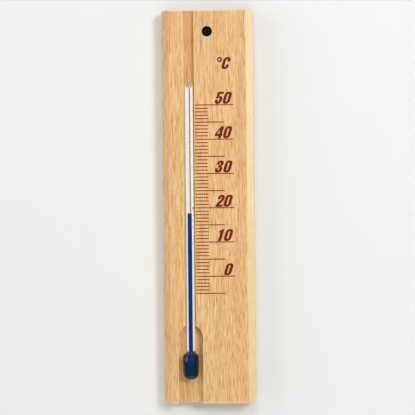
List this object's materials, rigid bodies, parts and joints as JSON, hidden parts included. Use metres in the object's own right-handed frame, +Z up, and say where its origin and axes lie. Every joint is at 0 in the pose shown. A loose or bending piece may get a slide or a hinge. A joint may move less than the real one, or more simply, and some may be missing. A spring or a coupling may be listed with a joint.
{
  "type": "wall thermometer",
  "caption": "Flat wooden wall thermometer with a spirit-filled glass tube let into its face, a printed degree scale beside the tube, and a hanging hole.",
  "frame": {"origin": "where the axis of the hanging hole meets the back face of the board, which lies against the wall", "axes": "+Z up the board, +X to the reader's right, -Y out of the scale's face towards the reader"},
  "size_m": [0.04, 0.013, 0.1712],
  "materials": {
    "beech": "planed and sanded beech under thin clear lacquer",
    "clear_glass": "clear drawn glass",
    "white_enamel": "opaque white enamel glass",
    "blue_spirit": "dyed spirit",
    "clear_glue": "set clear glue",
    "red_ink": "thin printed ink",
    "black_ink": "thin printed ink"
  },
  "bodies": {
    "thermometer": {"board": "beech", "glass_stem": "clear_glass", "glass_bulb": "clear_glass", "enamel_strip": "white_enamel", "spirit_column": "blue_spirit", "bulb_spirit": "blue_spirit", "upper_glue_dab": "clear_glue", "lower_glue_dab": "clear_glue", "one_degree_marks": "red_ink", "five_degree_marks": "red_ink", "ten_degree_marks": "red_ink", "calibration_mark": "black_ink"},
    "spirit_top": {"spirit_surface": "blue_spirit"}
  },
  "joints": [
    {"name": "spirit_rise", "type": "slide", "parent": "thermometer", "child": "spirit_top", "axis": [0, 0, 1], "range_m": [-0.03482, 0.04702], "deforming": ["spirit_column"]}
  ]
}
